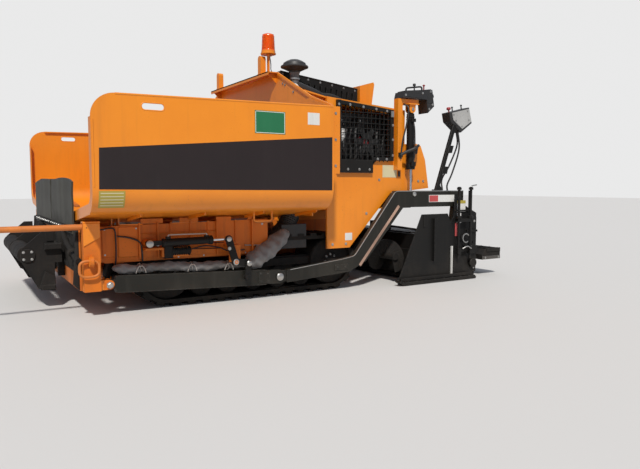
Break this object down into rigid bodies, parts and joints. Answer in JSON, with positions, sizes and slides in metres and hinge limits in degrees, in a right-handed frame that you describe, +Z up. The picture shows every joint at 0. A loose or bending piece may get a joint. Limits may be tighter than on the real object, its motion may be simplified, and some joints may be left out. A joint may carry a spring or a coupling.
{
  "type": "tracked asphalt paver",
  "caption": "Tracked asphalt paver with folding hopper wings, open conveyor tunnels, tow arms with bell cranks, and a hydraulically extending screed with end gates.",
  "frame": {"origin": "centre of the footprint on the ground", "axes": "+X forward towards the hopper, +Y to the machine's left, +Z up"},
  "size_m": [4.96, 3.2, 2.266],
  "materials": {
    "orange": "satin",
    "black": "satin",
    "dark_steel": "matte",
    "worn_steel": "worn",
    "chrome": "polished",
    "rubber": "matte",
    "fabric": "matte",
    "apron": "matte",
    "red": "gloss",
    "amber": "gloss",
    "plastic": "matte"
  },
  "bodies": {
    "tractor": {"main_frame": "orange", "front_frame": "orange", "front_apron": "apron", "push_beam": "dark_steel", "hopper_floor": "worn_steel", "conveyors": "worn_steel", "bulkhead": "orange", "body_sides": "orange", "body_walls": "orange", "body_deck": "orange", "rear_posts": "orange", "rear_cowl": "orange", "mesh_guards": "black", "engine_block": "red", "precleaner": "plastic", "beacon": "amber", "track_left": "rubber", "track_right": "rubber", "track_frames": "dark_steel", "side_guards": "orange", "guide_bar": "orange", "auger_mounts": "orange"},
    "left_wing": {"wing_left": "orange"},
    "right_wing": {"wing_right": "orange"},
    "left_wing_barrel": {"wing_barrel_left": "black"},
    "right_wing_barrel": {"wing_barrel_right": "black"},
    "left_wing_rod": {"wing_rod_left": "chrome"},
    "right_wing_rod": {"wing_rod_right": "chrome"},
    "left_push_roller": {"push_roller_left": "worn_steel"},
    "right_push_roller": {"push_roller_right": "worn_steel"},
    "left_auger": {"auger_left": "worn_steel"},
    "right_auger": {"auger_right": "worn_steel"},
    "tow_arms": {"drag_links": "black", "hose_sleeves": "fabric"},
    "cranks": {"bell_cranks": "black"},
    "links": {"crank_links": "black"},
    "tow_cylinder_barrels": {"tow_barrels": "black"},
    "tow_cylinder_rods": {"tow_rods": "chrome"},
    "screed": {"screed_arms": "black", "main_screed": "black", "screed_controls": "black"},
    "lift_cylinder_barrels": {"lift_barrels": "black"},
    "lift_cylinder_rods": {"lift_rods": "chrome"},
    "left_extension": {"extension_left": "black"},
    "right_extension": {"extension_right": "black"},
    "left_gate": {"gate_left": "black"},
    "right_gate": {"gate_right": "black"},
    "left_walkway": {"walkway_left": "dark_steel"},
    "right_walkway": {"walkway_right": "dark_steel"},
    "hood": {"engine_hood": "black"},
    "left_console": {"console_left": "plastic"},
    "right_console": {"console_right": "plastic"}
  },
  "joints": [
    {"name": "left_wing_fold", "type": "hinge", "parent": "tractor", "child": "left_wing", "pos_m": [0, 0.64, 0.63], "axis": [1, 0, 0], "range_deg": [0, 40]},
    {"name": "left_wing_cylinder_swing", "type": "hinge", "parent": "tractor", "child": "left_wing_barrel", "pos_m": [1.32, 0.69, 0.19], "axis": [1, 0, 0], "range_deg": [-1, 20]},
    {"name": "left_wing_cylinder_stroke", "type": "slide", "parent": "left_wing_barrel", "child": "left_wing_rod", "axis": [0, 0.6031, 0.7977], "range_m": [-0.002, 0.2]},
    {"name": "right_wing_fold", "type": "hinge", "parent": "tractor", "child": "right_wing", "pos_m": [0, -0.64, 0.63], "axis": [-1, 0, 0], "range_deg": [0, 40]},
    {"name": "right_wing_cylinder_swing", "type": "hinge", "parent": "tractor", "child": "right_wing_barrel", "pos_m": [1.32, -0.69, 0.19], "axis": [-1, 0, 0], "range_deg": [-1, 20]},
    {"name": "right_wing_cylinder_stroke", "type": "slide", "parent": "right_wing_barrel", "child": "right_wing_rod", "axis": [0, -0.6031, 0.7977], "range_m": [-0.002, 0.2]},
    {"name": "left_push_roller_spin", "type": "hinge", "parent": "tractor", "child": "left_push_roller", "pos_m": [1.86, 0.4, 0.4], "axis": [0, 1, 0], "continuous": true},
    {"name": "right_push_roller_spin", "type": "hinge", "parent": "tractor", "child": "right_push_roller", "pos_m": [1.86, -0.4, 0.4], "axis": [0, 1, 0], "continuous": true},
    {"name": "left_auger_spin", "type": "hinge", "parent": "tractor", "child": "left_auger", "pos_m": [-1.18, 0.5, 0.25], "axis": [0, 1, 0], "continuous": true},
    {"name": "right_auger_spin", "type": "hinge", "parent": "tractor", "child": "right_auger", "pos_m": [-1.18, -0.5, 0.25], "axis": [0, 1, 0], "continuous": true},
    {"name": "tow_point", "type": "hinge", "parent": "tractor", "child": "tow_arms", "pos_m": [1.41, 0, 0.225], "axis": [0, 1, 0], "range_deg": [0, 1.5]},
    {"name": "crank_turn", "type": "hinge", "parent": "tractor", "child": "cranks", "pos_m": [0.469, 0, 0.322], "axis": [0, 1, 0], "range_deg": [-1, 17]},
    {"name": "link_turn", "type": "hinge", "parent": "cranks", "child": "links", "pos_m": [0.368, 0, 0.307], "axis": [0, 1, 0], "range_deg": [-17, 1]},
    {"name": "tow_cylinder_swing", "type": "hinge", "parent": "tractor", "child": "tow_cylinder_barrels", "pos_m": [1.127, 0, 0.495], "axis": [0, 1, 0], "range_deg": [-3, 1]},
    {"name": "tow_cylinder_stroke", "type": "slide", "parent": "tow_cylinder_barrels", "child": "tow_cylinder_rods", "axis": [-0.9999, 0, 0.0116], "range_m": [-0.055, 0.002]},
    {"name": "screed_lift", "type": "hinge", "parent": "tow_arms", "child": "screed", "pos_m": [0.08, 0, 0.174], "axis": [0, 1, 0], "range_deg": [0, 5]},
    {"name": "lift_cylinder_swing", "type": "hinge", "parent": "tractor", "child": "lift_cylinder_barrels", "pos_m": [-1.29, 0, 1.6], "axis": [0, 1, 0], "range_deg": [-7, 1]},
    {"name": "lift_cylinder_stroke", "type": "slide", "parent": "lift_cylinder_barrels", "child": "lift_cylinder_rods", "axis": [-0.0104, 0, -0.9999], "range_m": [-0.12, 0.003]},
    {"name": "left_extension_slide", "type": "slide", "parent": "screed", "child": "left_extension", "axis": [0, 1, 0], "range_m": [0, 1.05]},
    {"name": "right_extension_slide", "type": "slide", "parent": "screed", "child": "right_extension", "axis": [0, -1, 0], "range_m": [0, 1.05]},
    {"name": "left_gate_lift", "type": "slide", "parent": "left_extension", "child": "left_gate", "axis": [0, 0, 1], "range_m": [0, 0.12]},
    {"name": "right_gate_lift", "type": "slide", "parent": "right_extension", "child": "right_gate", "axis": [0, 0, 1], "range_m": [0, 0.12]},
    {"name": "left_walkway_fold", "type": "hinge", "parent": "left_extension", "child": "left_walkway", "pos_m": [-2.132, 0.6, 0.18], "axis": [0, 1, 0], "range_deg": [0, 60]},
    {"name": "right_walkway_fold", "type": "hinge", "parent": "right_extension", "child": "right_walkway", "pos_m": [-2.132, -0.6, 0.18], "axis": [0, 1, 0], "range_deg": [0, 60]},
    {"name": "hood_lift", "type": "hinge", "parent": "tractor", "child": "hood", "pos_m": [-1.062, 0, 1.84381], "axis": [0, -1, 0], "range_deg": [0, 45]},
    {"name": "left_console_swing", "type": "hinge", "parent": "tractor", "child": "left_console", "pos_m": [-1.2, 1.15, 1.7], "axis": [0, 0, -1], "range_deg": [0, 45]},
    {"name": "right_console_swing", "type": "hinge", "parent": "tractor", "child": "right_console", "pos_m": [-1.2, -1.15, 1.7], "axis": [0, 0, 1], "range_deg": [0, 45]}
  ],
  "couplings": [
    {"joint": "left_wing_cylinder_swing", "follows": "left_wing_fold", "ratio": 0.40974},
    {"joint": "left_wing_cylinder_stroke", "follows": "left_wing_fold", "m_per_rad": 0.25666},
    {"joint": "right_wing_cylinder_swing", "follows": "right_wing_fold", "ratio": 0.40974},
    {"joint": "right_wing_cylinder_stroke", "follows": "right_wing_fold", "m_per_rad": 0.25666},
    {"joint": "crank_turn", "follows": "tow_point", "ratio": 10.147},
    {"joint": "link_turn", "follows": "tow_point", "ratio": -10.147},
    {"joint": "tow_cylinder_swing", "follows": "tow_point", "ratio": -1.3852},
    {"joint": "tow_cylinder_stroke", "follows": "tow_point", "m_per_rad": -1.7264},
    {"joint": "lift_cylinder_swing", "follows": "screed_lift", "ratio": -1.0727},
    {"joint": "lift_cylinder_stroke", "follows": "screed_lift", "m_per_rad": -1.3222}
  ]
}
